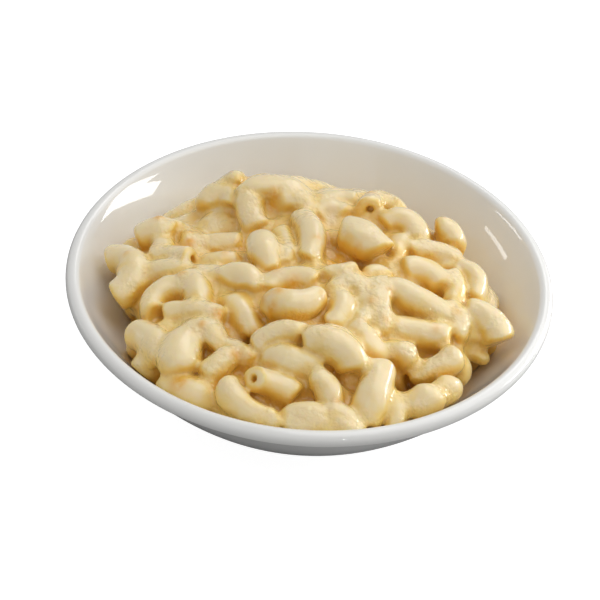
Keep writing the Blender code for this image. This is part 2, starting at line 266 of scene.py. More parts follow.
# Elbows that lie on top. Each is three points along its bend, as x, y and lift above where most
# of them lie, then its radius at them, and its special ends: "a" the first and "b" the last are
# open, "c" the first and "d" the last are round.
laidElbows = [
    # left edge
    ((-54.8, 4, 1), (-48.5, -0.7, 1), (-51.2, -12.5, 0), (3.8, 4.2, 4.6), ""),
    ((-47.8, 12.2, 0.3), (-43.4, 13.6, 0.9), (-38.8, 12.8, 0.4), (4.2, 4.3, 4.0), ""),
    ((-41.5, 9, 0), (-41, 5, 0.5), (-41.5, 1, 0), (2.4, 2.6, 2.4), ""),
    ((-41, 0.8, 0), (-37, 1.0, 0.8), (-32.6, 0, 2.0), (3.0, 3.2, 3.4), "b"),
    ((-43, -5.5, 0), (-37, -5, 0.5), (-32.5, -7.5, 0), (3.0, 3.1, 2.9), ""),
    ((-36.5, 12.5, -1), (-33, 11, -0.5), (-30, 8, -1), (3.2, 3.4, 3.2), ""),
    # hook and the elbows beside it
    ((-33.5, -12.5, 0.5), (-39, -13, 1), (-40.7, -20.5, 1), (3.0, 3.2, 3.3), ""),
    ((-36, -21.5, 1), (-29.5, -21.5, 1.5), (-23.2, -23.8, 1), (2.9, 3.1, 2.8), ""),
    ((-32.5, -9.5, 0.5), (-30, -13, 1), (-29, -18.5, 0.5), (3.3, 3.5, 3.3), ""),
    ((-29.5, -7.5, -0.5), (-25.5, -7.7, -0.5), (-21.5, -8.5, -1), (2.6, 2.6, 2.6), ""),
    ((-22.5, -10.5, 0), (-18.3, -9.2, 0.5), (-15.5, -13.5, 0), (3.7, 3.9, 3.7), ""),
    # hollow behind them
    ((-30, 16, -2.3), (-26, 17.5, -2.3), (-21.5, 15, -2.5), (3.2, 3.3, 3.2), ""),
    ((-36, 8, -1), (-28, 8.3, -1), (-20, 8.5, -1.5), (3.4, 3.6, 3.4), ""),
    ((-30, -1.5, -1), (-25, -2.2, -1), (-20.5, -1.5, -1.5), (2.8, 3, 2.8), ""),
    # crest
    ((-30.6, 24.8, 0), (-27.8, 28, 0.5), (-23.2, 23.6, 0), (3.4, 3.8, 3.6), ""),
    ((-26, 31.8, 1.2), (-24.3, 33.2, 2.2), (-21.3, 33, 2.2), (2.7, 2.9, 3.0), "d"),
    ((-19, 24.6, 0.5), (-11.3, 27.2, 0.5), (-4, 25, 0.2), (3.3, 3.4, 3.3), ""),
    ((-18.5, 24, 0.8), (-18, 19, 0.8), (-15.5, 14, 0), (3.4, 3.5, 3.3), ""),
    ((-9.8, 22.3, 0.5), (-5.2, 23, 0.5), (-2, 19.5, 0), (3.1, 3.3, 3.2), ""),
    # back right
    ((1.2, 24.5, 0), (5.8, 26.8, 0.5), (10.8, 27, 0.5), (2.8, 2.9, 2.8), ""),
    ((0.5, 21, 0), (4.5, 22, 0), (8.5, 20.5, 0), (2.9, 3, 2.9), ""),
    ((15.4, 24.3, 2.6), (16.6, 26.8, 1.0), (20, 28, -3), (3.3, 3.5, 3.3), "a"),
    ((18.5, 27, 0), (21.5, 26.5, 0), (23, 22.5, -1), (3.0, 3.2, 3.0), ""),
    ((20, 19.5, 0.5), (26.5, 19.8, 0.8), (29, 14.5, 0), (3.3, 3.4, 3.3), ""),
    ((34.8, 20.8, 0.2), (38.2, 19.8, 0.7), (39.3, 15.5, 0), (3.9, 3.9, 3.3), "c"),
    ((28, 9, 0), (33.5, 10.8, 0.5), (39, 9, 0), (3, 3.1, 3), ""),
    ((36.5, 10.5, -1), (37.7, 6, -1), (37.5, 3, -1), (2.8, 2.8, 2.8), ""),
    # middle
    ((-14, 6.5, 1.5), (-12.8, 1.6, 1.8), (-11, -5.5, 0.5), (4.3, 4.1, 2.8), ""),
    ((-9, 10, -0.5), (-7, 3, -0.5), (-7, -4, -1), (3, 3, 3), ""),
    ((-4, 17, 0.5), (-0.2, 8, 1.2), (-0.8, -1.5, 0), (3.2, 3.5, 3.2), ""),
    ((8.6, 12.3, 1.6), (13, 10.3, 2.2), (17.8, 6.2, 1.6), (4.3, 4.9, 4.5), ""),
    ((24, 13, -1), (23.5, 7.5, -1), (22, 4, -1.5), (3.2, 3.2, 3.2), ""),
    ((26, 0.8, 0.5), (31, 1.6, 0.8), (36.2, -2.8, 0.5), (3.1, 3.3, 3.1), ""),
    ((38.5, 1, 0.5), (39.6, -4, 0.5), (38.8, -9.5, 0), (2.7, 2.9, 2.7), ""),
    ((41, 6, 0), (45, 3, 0.5), (44.5, -4.5, 0), (3.1, 3.4, 3.2), ""),
    ((43.5, -10.3, 1), (48, -12, 1.5), (51.5, -17.2, 1), (3.7, 4, 3.8), ""),
    ((41, -15.5, -1.8), (42.7, -18, -2.2), (43.8, -21, -2.8), (3.4, 3.4, 3.3), ""),
    ((45.6, -25, -4.5), (46.5, -25.6, -4.4), (47.4, -26.3, -4.6), (1.7, 1.8, 1.7), ""),
    ((15.5, -6.7, 0), (18, -5.3, 0.3), (20.7, -7.2, 0), (2.2, 2.4, 2.2), ""),
    ((4.5, -8.2, 0.5), (7.7, -7, 0.8), (10.6, -6, 0.8), (2.2, 2.4, 2.3), ""),
    ((22.8, -9.5, 0.5), (29.5, -11.7, 1.5), (36.3, -14.8, 0), (3.6, 3.9, 3.6), ""),
    ((7.5, -13.3, 0.3), (12, -11, 0.8), (15.4, -13.3, 0.3), (2.5, 2.7, 2.4), ""),
    ((13, -16, -0.3), (15.8, -19.5, 0), (12.8, -24.5, -0.5), (2.9, 3.1, 2.9), ""),
    ((18, -10.5, 0.5), (18.7, -16.5, 1), (19.3, -24.8, 0), (2.7, 3, 2.8), ""),
    ((6.5, -16, -0.5), (8.7, -21, 0), (6, -27, -1), (3, 3.2, 3), ""),
    ((14, -27, -0.5), (16, -31, -0.5), (20, -33, -1), (3.4, 3.5, 3.4), ""),
    ((-11, -13.2, 0.5), (-6, -9.6, 0.8), (0.5, -11, 0.5), (2.6, 2.8, 2.6), ""),
    ((-9.5, -19, 1), (-4, -21, 2), (1.5, -19, 1), (3.5, 4.1, 3.7), ""),
    ((-20, -19, -2), (-16.5, -25, -2), (-14, -29.5, -3), (3.8, 3.8, 3.8), ""),
    # front right
    ((23.5, -21.8, 0.5), (30, -21, 1), (37, -21.8, 0.3), (3.3, 3.6, 3.4), ""),
    ((24.3, -27.2, 1.2), (26.3, -27.6, 2.2), (28.4, -28.6, 1.8), (3.8, 4.1, 4.2), "cd"),
    ((30.3, -34, -0.9), (35.2, -31.2, 0.6), (39.6, -26.3, 1.2), (3.0, 3.4, 3.8), "d"),
    ((27.5, -46.6, -0.3), (31, -44, 0.8), (34.3, -41, 1.2), (3.6, 3.9, 3.8), "d"),
    ((34.5, -41.5, 0.6), (36.3, -39.5, 1.2), (38.3, -36, 1.2), (3.2, 3.4, 3.3), "d"),
    ((40, -29, -3), (41, -32, -3.5), (39.6, -35, -3.8), (3.0, 3.1, 2.9), "d"),
    ((38.5, -12, 0.5), (40, -15, 0.5), (39.5, -19.5, 0), (2.8, 2.9, 2.8), ""),
    ((19.3, -37.5, 1), (18, -45, 1.5), (16.3, -52, 0), (3.8, 4, 3.8), ""),
    ((21.5, -46, -0.5), (23.7, -49, -0.3), (22, -53, -1), (3.1, 3.3, 3.1), ""),
    # front
    ((-12.3, -34, 0.5), (-7.8, -31, 1), (-1.5, -31.3, 1.2), (2.9, 3, 3), ""),
    ((0.5, -33.3, 1.5), (7.5, -33.7, 2), (12.5, -39, 1), (3.6, 4, 3.8), ""),
    ((5, -31.2, 1), (8.5, -30.8, 1.3), (11.3, -33.5, 0.5), (2.5, 2.6, 2.5), ""),
    ((-9, -38, -0.6), (-4, -39, 0), (2.5, -40.7, -0.3), (3.5, 3.7, 3.5), ""),
    ((2.3, -43, 1), (5.8, -45, 1.3), (7, -49.5, 0.5), (3.1, 3.3, 3.2), ""),
    ((-11.8, -43.5, 3.0), (-8.5, -45, 1.0), (-2, -48, -0.5), (3.2, 3.3, 3.3), "a"),
    ((-20, -45.6, 2.2), (-14.5, -51.3, 1.5), (-6.5, -55, 0.5), (4.1, 2.8, 3.1), "c"),
    ((-19, -52.5, -2), (-15, -55, -2), (-11, -57, -2.5), (3.2, 3.2, 3.2), ""),
    ((-3, -56, 0), (3.5, -53.8, 0.8), (8.5, -55, 0.5), (3.6, 3.9, 3.7), ""),
    ((5.5, -52.8, 0.8), (10, -53.3, 1), (12.5, -56.5, 0), (3.5, 3.7, 3.5), ""),
    # front left
    ((-31.2, -41.2, 1.9), (-32, -36.5, 1.8), (-28.5, -29.5, 0.5), (5.2, 4.8, 4.0), "c"),
    ((-29, -28.8, 1), (-24.3, -29.5, 1), (-23, -34.5, 0), (3.4, 3.5, 3.2), ""),
    ((-24.6, -43, 0.6), (-21.8, -40, 1.2), (-19.7, -36.5, 1), (3.2, 3.2, 2.8), ""),
    ((-20, -34, 0), (-16.5, -35.5, 0.3), (-13.7, -38, 0), (2.8, 2.8, 2.6), ""),
    ((-43.4, -27.8, 0.4), (-39.2, -31.4, 0.9), (-35.4, -36.8, 0.2), (4.0, 4.6, 4.2), ""),
    ((-37, -26.5, -0.5), (-33, -28.5, -1), (-30, -27, -1), (3.4, 3.4, 3.4), ""),
    ((-34, -44, -0.8), (-29, -47.3, -0.2), (-23, -48.3, -0.8), (3.8, 4.0, 3.8), ""),
]

laying = {
    "sink": 4.5,  # the middles of the elbows on top lie this far under the dome
    "forward": 1.22,  # a lift also brings a point forwards by this share
}

filler = {  # elbows that show in the gaps, and all over the back slope, placed by a rule
    "count": 150,
    "seed": 7,
    "radius": 3.8,
    "bend": 7.5,
    "halfTurn": math.radians(58),
    "tilt": 1.6,  # the most that one end rises and the other sinks
    "middleLift": 0.8,
    "edgeGap": 5.0,  # from the outermost middles to the heap's edge
    "sink": 5.4,  # of the middles under the mound
    "frontSink": 4.0,  # more of it, in front of the back slope
    "backSlope": (30, 37),  # where it starts, and where it is full, in mm behind the bowl's middle
    "backCurve": 0.15,  # it starts nearer at the sides
    "backMiddle": -5.0,
    "backCalm": 0.4,  # share of the lifts that is lost there
    "cornerSink": 4.0,  # the back left corner is low
    "cornerBack": (32, 36),
    "cornerLeft": (8, 17),
    "wallGap": 4.3,  # from the middles to the wall
    "shallow": 4.5,  # a pit deeper than this holds none
}


def fillerPoint(x, y, lift):  # pulled in from the heap's edge, under the mound and clear of the wall
    away = math.hypot(x, y)
    inwards = min(1, (heapReach(math.atan2(y, x)) - filler["radius"]) / away)
    x, y, away = x * inwards, y * inwards, away * inwards
    curve = filler["backCurve"] * abs(x - filler["backMiddle"])
    onBack = smoothStep(*filler["backSlope"], y + curve)
    inCorner = smoothStep(*filler["cornerBack"], y) * smoothStep(*filler["cornerLeft"], -x)
    sunk = filler["cornerSink"] * inCorner + pitDepth(x, y)
    height = moundHeight(x, y) - filler["sink"] - filler["frontSink"] * (1 - onBack)
    height = height + lift * (1 - filler["backCalm"] * onBack) - sunk
    return np.array([x, y, max(height, insideHeight(away) + filler["wallGap"])])


def fillerElbows():  # arcs with seeded headings, their middles on a golden-angle spiral
    rng = np.random.default_rng(filler["seed"])
    order = np.arange(filler["count"])
    bearing = order * np.pi * (3 - math.sqrt(5))
    distance = (heapReach(bearing) - filler["edgeGap"]) * np.sqrt((order + 0.5) / filler["count"])
    heading = rng.uniform(0, 2 * np.pi, filler["count"])
    tilt = rng.uniform(-filler["tilt"], filler["tilt"], filler["count"])
    along = np.column_stack([np.cos(heading), np.sin(heading)])
    across = np.column_stack([-np.sin(heading), np.cos(heading)])
    middle = np.column_stack([distance * np.cos(bearing), distance * np.sin(bearing)])
    back = along * filler["bend"] * (math.cos(filler["halfTurn"]) - 1)
    aside = across * filler["bend"] * math.sin(filler["halfTurn"])
    made = []
    for i in order[pitDepth(*middle.T) < filler["shallow"]]:
        points = [
            fillerPoint(*(middle[i] + back[i] - aside[i]), tilt[i]),
            fillerPoint(*middle[i], filler["middleLift"]),
            fillerPoint(*(middle[i] + back[i] + aside[i]), -tilt[i]),
        ]
        made.append((*points, (filler["radius"],) * 3, ""))
    return made


def layElbows():  # a lift raises a point and brings it forwards along the view
    made = []
    for *places, radii, ends in laidElbows:
        points = [
            np.array([x, y - laying["forward"] * lift, domeHeight(x, y) - laying["sink"] + lift])
            for x, y, lift in places
        ]
        made.append((*points, radii, ends))
    return made


tube = {
    "oval": 0.07,  # how much a whim flattens the section
    "waist": 0.06,  # how much the radius comes and goes along the bend
    "waistPitch": 2.6,
    "overhang": 0.7,  # the cuts lie this far past the end points
    "cutSlant": 0.3,
    "cutSkew": 0.25,
    "cutRounding": 1.9,
    "ballShare": 0.75,  # of the radius that a round end takes up
    "bore": 0.45,  # of the open ends, as a share of the radius
    "boreDepth": 1.8,  # sauce fills them below this
    "boreRounding": 0.8,
    "straight": 0.01,  # three points that bow less than this
    "bow": 0.35,  # get this much more
}


def arcThrough(first, middle, last):
    # The circle through three points: its centre is first + (|v|^2 w x u + |u|^2 v x w) / (2 |w|^2)
    # with u and v the ways to the others and w = u x v. Given with its own axes and end angles.
    u, v = middle - first, last - first
    w = np.cross(u, v)
    if np.dot(w, w) < tube["straight"] * np.dot(v, v):
        middle = middle + np.array([0, 0, tube["bow"]])
        u = middle - first
        w = np.cross(u, v)
    centre = first + (np.dot(v, v) * np.cross(w, u) + np.dot(u, u) * np.cross(v, w)) / (2 * np.dot(w, w))
    radius = np.linalg.norm(first - centre)
    axisOut = (middle - centre) / radius
    axisUp = unit(w)
    axisAlong = np.cross(axisUp, axisOut)
    angles = [math.atan2(np.dot(p - centre, axisAlong), np.dot(p - centre, axisOut)) for p in (first, last)]
    return centre, radius, axisOut, axisAlong, axisUp, angles


def elbowField(x, y, z, elbow, whim):
    # Distance to a tube along an arc: hypot(distance to the circle in its plane, height over it)
    # less the radius there, cut off slantwise at both ends. Open ends have a hole bored into them,
    # and at round ends the distance also counts how far a point lies past the end's own ball.
    # The whim is four seeded numbers from -1 to 1 that make each tube's section and cuts its own.
    first, middle, last, radii, ends = elbow
    centre, bend, axisOut, axisAlong, axisUp, angles = arcThrough(first, middle, last)
    px, py, pz = x - centre[0], y - centre[1], z - centre[2]
    u = px * axisOut[0] + py * axisOut[1] + pz * axisOut[2]
    v = px * axisAlong[0] + py * axisAlong[1] + pz * axisAlong[2]
    w = px * axisUp[0] + py * axisUp[1] + pz * axisUp[2]
    angle = np.arctan2(v, u)
    across = np.hypot(u, v) - bend
    away = np.hypot(across * (1 - tube["oval"] * whim[0]), w * (1 + tube["oval"] * whim[0]))
    low, high = min(angles), max(angles)
    if angles[0] > angles[1]:
        radii, ends = radii[::-1], ends.translate(str.maketrans("abcd", "badc"))
    radius = np.interp(angle, [low, 0, high], radii)
    radius = radius * (1 + tube["waist"] * np.sin(angle * bend / tube["waistPitch"] + 3 * whim[3]))
    skew = tube["cutSkew"] * whim[3] * across
    beyondLow = (low - angle) * bend + tube["cutSlant"] * whim[1] * w + skew
    beyondHigh = (angle - high) * bend + tube["cutSlant"] * whim[2] * w - skew
    for end, beyond in (("c", beyondLow), ("d", beyondHigh)):
        if end in ends:
            away = np.hypot(away, np.maximum(beyond + tube["ballShare"] * radius, 0))
    past = np.maximum(beyondLow, beyondHigh) - tube["overhang"]
    field = smoothMax(away - radius, past, tube["cutRounding"])
    for end, beyond in (("a", beyondLow), ("b", beyondHigh)):
        if end in ends:
            hole = np.maximum(away - tube["bore"] * radius, -(beyond + tube["boreDepth"]))
            field = smoothMax(field, -hole, tube["boreRounding"])
    return field


def latticeNoise(rng, shape, cell, wave):
    # Random values on a coarse lattice of pitch wave, spread to the fine grid by cubic B-spline
    # weights along each axis.
    spreads = []
    for count in shape:
        place = np.arange(count) * cell / wave
        base = np.floor(place).astype(int)
        t = place - base
        weights = [
            (1 - t) ** 3 / 6,
            (3 * t**3 - 6 * t**2 + 4) / 6,
            (-3 * t**3 + 3 * t**2 + 3 * t + 1) / 6,
            t**3 / 6,
        ]
        spread = np.zeros((count, base[-1] + 4), dtype=np.float32)
        for k, weight in enumerate(weights):
            spread[np.arange(count), base + k] = weight
        spreads.append(spread)
    values = rng.uniform(-1, 1, [s.shape[1] for s in spreads]).astype(np.float32)
    for axis, spread in enumerate(spreads):
        values = np.moveaxis(np.tensordot(spread, values, axes=(1, axis)), 0, axis)
    return values


smearAndBounce = {  # sauce on the inside wall, beside the heap, and further out painted yellow bounce light from the heap; widths in mm
    "width": 1.5,
    "rightWidth": 2.5,
    "rightBearing": math.radians(10),
    "rightWaves": (1.2, 0.8),  # five and eleven of them go round the bowl
    "frontWidth": 6.0,
    "frontBearing": math.radians(-38),
    "frontSpread": math.radians(22),
    "bounceTint": 0.6,  # painted yellow bounce light from the heap, further out
    "tintReach": 20.0,
    "tintBearing": math.radians(50),
    "tintSpread": math.radians(60),
    "top": 62.6,  # radius where the inside wall ends
}


def bell(bearing, middle, spread):  # exp(-((bearing - middle) / spread)^2)
    return np.exp(-(((bearing - middle) / spread) ** 2))


def sauceSmearAndBounce(points):
    # Sauce, full at the heap's edge, and thinning out over a width that grows towards the right and the
    # front right. The tint, painted yellow bounce light from the heap, thins out over its own reach, around
    # its own bearing.
    x, y, z = points.T
    radius, bearing = np.hypot(x, y), np.arctan2(y, x)
    onRight = smoothStep(-0.6, 0.3, np.cos(bearing - smearAndBounce["rightBearing"]))
    wide, narrow = smearAndBounce["rightWaves"]
    waves = wide * np.sin(5 * bearing + 1) + narrow * np.sin(11 * bearing)
    front = smearAndBounce["frontWidth"] * bell(bearing, smearAndBounce["frontBearing"], smearAndBounce["frontSpread"])
    width = smearAndBounce["width"] + (smearAndBounce["rightWidth"] + waves) * onRight + front
    beyond = radius - heapReach(bearing)
    smearAndBounceShare = 1 - smoothStep(0, 1, (beyond + 1) / width)
    bounceTint = smearAndBounce["bounceTint"] * bell(bearing, smearAndBounce["tintBearing"], smearAndBounce["tintSpread"])
    smearAndBounceShare = np.maximum(smearAndBounceShare, bounceTint * (1 - smoothStep(0, smearAndBounce["tintReach"], beyond)))
    onInside = np.abs(z - insideHeight(np.minimum(radius, smearAndBounce["top"]))) < 0.1
    return np.where(onInside, smearAndBounceShare, 0)


cubeCorners = [(i, j, k) for i in (0, 1) for j in (0, 1) for k in (0, 1)]


def surfaceNet(field, origin, cell):
    # One point for each cell that the surface passes through, at the mean of its edge crossings,
    # and one quad for each grid edge that it cuts.
    inside = field < 0
    size = [s - 1 for s in field.shape]

    def corner(values, c):
        return values[c[0]:c[0] + size[0], c[1]:c[1] + size[1], c[2]:c[2] + size[2]]

    total = sum(corner(inside, c).astype(np.int8) for c in cubeCorners)
    cells = np.argwhere((total > 0) & (total < 8))
    value = {c: field[tuple((cells + c).T)] for c in cubeCorners}
    points, hits = np.zeros((len(cells), 3)), np.zeros(len(cells))
    for a in cubeCorners:
        for axis in range(3):
            if a[axis] == 0:
                b = tuple(v + (n == axis) for n, v in enumerate(a))
                cut = (value[a] < 0) != (value[b] < 0)
                share = np.where(cut, value[a] / np.where(cut, value[a] - value[b], 1), 0)
                points += cut[:, None] * (np.array(a) + share[:, None] * (np.array(b) - np.array(a)))
                hits += cut
    points = origin + cell * (cells + points / hits[:, None])
    number = np.full(size, -1, dtype=np.int32)
    number[tuple(cells.T)] = np.arange(len(cells))
    quads = []
    for axis in range(3):
        one, two = [n for n in range(3) if n != axis]
        here = [slice(1, -1)] * 3
        here[axis] = slice(0, -1)
        there = list(here)
        there[axis] = slice(1, None)
        leaving = inside[tuple(here)] & ~inside[tuple(there)]
        entering = ~inside[tuple(here)] & inside[tuple(there)]
        for edges, forward in ((leaving, axis != 1), (entering, axis == 1)):
            at = np.argwhere(edges)
            at[:, one] += 1
            at[:, two] += 1
            stepOne, stepTwo = np.eye(3, dtype=int)[one], np.eye(3, dtype=int)[two]
            ring = [at - stepOne - stepTwo, at - stepTwo, at, at - stepOne]
            quad = np.column_stack([number[tuple(r.T)] for r in ring])
            quads.append(quad if forward else quad[:, ::-1])
    return points, np.vstack(quads)


def fanUnderside(points, quads, height):
    # The flat underside's many quads become one fan from its rim to a point in its middle: its rim
    # is made of the edges that only one flat quad has.
    flat = np.all(np.abs(points[quads][:, :, 2] - height) < 1e-3, axis=1)
    edges = np.concatenate([np.column_stack([quads[flat, k], quads[flat, (k + 1) % 4]]) for k in range(4)])
    count = len(points) + 1
    rim = edges[~np.isin(edges[:, 0] * count + edges[:, 1], edges[:, 1] * count + edges[:, 0])]
    points = np.vstack([points, [0, 0, height]])
    fan = np.column_stack([rim, np.full(len(rim), count - 1)])
    quads = quads[~flat]
    used = np.unique(np.concatenate([quads.ravel(), fan.ravel()]))
    number = np.full(count, -1)
    number[used] = np.arange(len(used))
    return points[used], number[quads], number[fan]


def sampleGrid(values, points, origin, cell):  # trilinear reading of a grid at points
    place = (points - origin) / cell
    base = np.clip(np.floor(place).astype(int), 0, np.array(values.shape) - 2)
    t = place - base
    total = 0
    for corner in cubeCorners:
        total = total + np.prod(np.where(corner, t, 1 - t), axis=1) * values[tuple((base + corner).T)]
    return total


shade = {  # painted shade: where the pasta's colour deepens
    "steps": (1.2, 2.4, 4.2),  # mm out from the surface
    "skyward": 0.8,  # how far the second reading leans upwards
    "most": 1.6,  # of one reading
    "under": 0.36,  # painted shade for undersides
    "underSlopes": (0.85, -0.4),  # upward part of the normal where that starts, and where it is full
}


def paintedHollowShade(field, points, origin, cell):
    # How closed in a point is, which the pasta's colour shows as painted shade: stepping out along the
    # surface's normal, or leaning upwards from it, the field grows by the whole step on an open back, and
    # by less where something else is near.
    # Sides and undersides count as a little closed in too, so they get painted shade as well.
    slopes = np.stack([sampleGrid(g, points, origin, cell) for g in np.gradient(field, cell)], -1)
    normal = slopes / np.maximum(np.linalg.norm(slopes, axis=1, keepdims=True), 1e-6)
    leaning = normal + np.array([0, 0, shade["skyward"]])
    leaning = leaning / np.linalg.norm(leaning, axis=1, keepdims=True)
    closed = 0
    for direction in (normal, leaning):
        for step in shade["steps"]:
            gap = sampleGrid(field, points + direction * step, origin, cell)
            closed = closed + np.clip(1 - gap / step, 0, shade["most"])
    closed = closed / (2 * len(shade["steps"]))
    return np.clip(closed + shade["under"] * smoothStep(*shade["underSlopes"], normal[:, 2]), 0, 1)


sauce = {
    "seed": 3,
    "cell": 0.55,  # pitch of the net, in mm
    "margin": 2.0,  # of the grid around the heap
    "headroom": 3.0,
    "bedDepth": 8.8,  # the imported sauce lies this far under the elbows' backs
    "bedSwells": [(1.6, 8.0), (0.6, 3.5)],  # height, wavelength
    "pools": [  # x, y, rise, spread: where thick sauce fills the elbows' gaps
        (14, -18, 4.2, 7), (11, -27, 2, 5), (-10, -14, 2, 5), (0, -37, 3, 6), (-6, -45, 2, 5),
        (-37, -24, 2, 5), (-27, -7, 1.5, 5), (-36, 13, 2, 4), (-6, 20, 2, 6), (21, 15, 2, 5),
        (35, 12, 2, 4), (-26, -36, 2.5, 5), (30, -17, 2, 5), (40, -10, 2, 5), (22, -30, 2, 5),
    ],
    "coat": 0.45,  # thickness of the sauce on every elbow
    "coatMargin": 4.5,  # an elbow's field is worked out this far around it
    "web": 1.4,  # how widely sauce rounds the creases between elbows
    "webWave": 9.0,
    "creaseWidth": 1.6,
    "poolEdge": (0.2, 2.5),  # how far over the elbows sauce counts as a crease, from and to
    "swells": [(0.5, 6.5), (0.45, 3.4)],
    "grainWave": 1.8,
    "grain": 0.22,  # height of the finest unevenness on the elbows
    "creaseGrain": 0.5,  # and how much more in the creases
    "fleckRise": 0.5,
    "wallRadius": 62.0,
    "wallRounding": 0.5,
    "topGap": 0.3,
    "topRounding": 1.2,
    "deepest": 12.0,  # depth under the backs at which the painted shade is darkest
}

crumbs = [  # x, y, radius, how orange: crumbs of browner cheese in the sauce
    (-11.8, 21.0, 1.6, 1.0), (1.2, 2.9, 1.3, 0.5), (7.6, 2.6, 2.0, 1.0), (5.2, -0.6, 1.6, 0.9),
    (13.9, -8.0, 1.6, 0.8), (-9.2, -10.3, 1.2, 0.6), (-4.5, -13.9, 1.6, 0.7), (-8.3, -21.8, 1.6, 0.9),
    (15.2, 26.4, 1.3, 0.8), (12.1, 20.6, 1.2, 0.7), (-43.2, 14.5, 1.6, 1.0), (-50.4, -1.6, 1.2, 0.6),
    (-34.7, 10.6, 1.4, 0.7), (-33.8, 7.0, 1.4, 0.9), (-34.4, -11.5, 1.2, 0.7), (-52.9, -5.9, 1.2, 0.7),
    (-22.6, -26.6, 1.8, 1.0), (-31.1, -47.8, 2.0, 1.0), (-17.2, -39.3, 1.8, 0.8), (-9.7, -26.4, 1.5, 0.9),
    (12.1, 1.1, 1.3, 0.7), (-23.6, -0.4, 1.1, 0.6), (-12.1, -22.5, 1.2, 0.7), (16.5, -19.0, 1.2, 0.7),
    (-13.9, -39.5, 1.4, 0.6), (21.5, -14.5, 1.1, 0.6), (20.5, -24.0, 1.1, 0.6), (39.5, -16.0, 1.1, 0.6),
    (4.0, -21.0, 1.1, 0.5), (34.0, -23.0, 1.2, 0.5), (-27.0, -31.0, 1.1, 0.6), (9.0, -52.0, 1.2, 0.6),
]


def makeGrid():  # its low corner, its shape, and the places along x, y and z
    cell, margin = sauce["cell"], sauce["margin"]
    low = np.array([heapLow[0] - margin, heapLow[1] - margin, heap["bottom"] - 2 * cell])
    high = np.array([heapHigh[0] + margin, heapHigh[1] + margin, heapHigh[2] + sauce["headroom"]])
    shape = np.ceil((high - low) / cell).astype(int)
    x, y, z = [(low[n] + cell * np.arange(shape[n])).astype(np.float32) for n in range(3)]
    return low, shape, x[:, None, None], y[None, :, None], z[None, None, :]


def swell(rng, shape, waves):  # the sum of height * lattice noise
    return sum(height * latticeNoise(rng, shape, sauce["cell"], wave) for height, wave in waves)


def bedField(rng, shape, x, y, z):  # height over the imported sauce: the mound, sunk, with pools and pits
    bed = addMounds(backsHeight(x, y) - sauce["bedDepth"], x, y, sauce["pools"])
    bed = bed - pitDepth(x, y)
    return (z - bed).astype(np.float32) + swell(rng, shape, sauce["bedSwells"])


def blockAround(elbow, low, shape):  # the part of the grid that an elbow can change
    points = np.array(elbow[:3])
    reach = max(elbow[3]) + sauce["coatMargin"]
    start = np.clip(np.floor((points.min(0) - reach - low) / sauce["cell"]).astype(int), 0, shape)
    stop = np.clip(np.ceil((points.max(0) + reach - low) / sauce["cell"]).astype(int), 0, shape)
    return tuple(slice(a, b) for a, b in zip(start, stop))


def joinElbows(field, rng, low, x, y, z):
    # Changes the field to the smooth minimum of itself and every elbow. Gives how much of a crease
    # each place is: exp(-(second nearest - nearest elbow) / width), and more where sauce lies deep.
    shape = field.shape
    nearest = np.full(shape, 9.0, dtype=np.float32)
    second = nearest.copy()
    patches = np.clip(2.2 * latticeNoise(rng, shape, sauce["cell"], sauce["webWave"]), -1, 1)
    web = sauce["web"] * (0.9 + 0.6 * patches)
    elbows = fillerElbows() + layElbows()
    for elbow, whim in zip(elbows, rng.uniform(-1, 1, (len(elbows), 4))):
        part = blockAround(elbow, low, shape)
        own = elbowField(x[part[0]], y[:, part[1]], z[:, :, part[2]], elbow, whim).astype(np.float32)
        own -= sauce["coat"]
        second[part] = np.minimum(second[part], np.maximum(nearest[part], own))
        nearest[part] = np.minimum(nearest[part], own)
        field[part] = smoothMin(field[part], own, web[part])
    crease = np.exp(-np.maximum(second - nearest, 0) / sauce["creaseWidth"])
    return np.clip(crease + smoothStep(*sauce["poolEdge"], nearest - field), 0, 1)


def crumbMap(x, y):  # the most of strength * exp(-(distance / radius)^2)
    orange = np.zeros(np.broadcast(x, y).shape, dtype=np.float32)
    for crumbX, crumbY, size, strength in crumbs:
        square = (x - crumbX) ** 2 + (y - crumbY) ** 2
        orange = np.maximum(orange, strength * np.exp(-square / size**2))
    return orange


def trimField(field, x, y, z):  # keeps clear of the wall, under the solid's top and flat below
    radius = np.hypot(x, y)
    wall = insideHeight(np.minimum(radius, sauce["wallRadius"])) + heap["wallGap"] - z
    slope = np.hypot(1, 1.6 * (radius / sauce["wallRadius"]) ** 2.2)  # near enough the wall's own
    field = smoothMax(field, (wall / slope).astype(np.float32), sauce["wallRounding"])
    field = smoothMax(field, z - heapHigh[2] + sauce["topGap"], sauce["topRounding"])
    field = np.maximum(field, heap["bottom"] - z)
    field[[0, -1]] = field[:, [0, -1]] = 5  # the grid's own sides lie outside
    field[:, :, [0, -1]] = 5
    return field


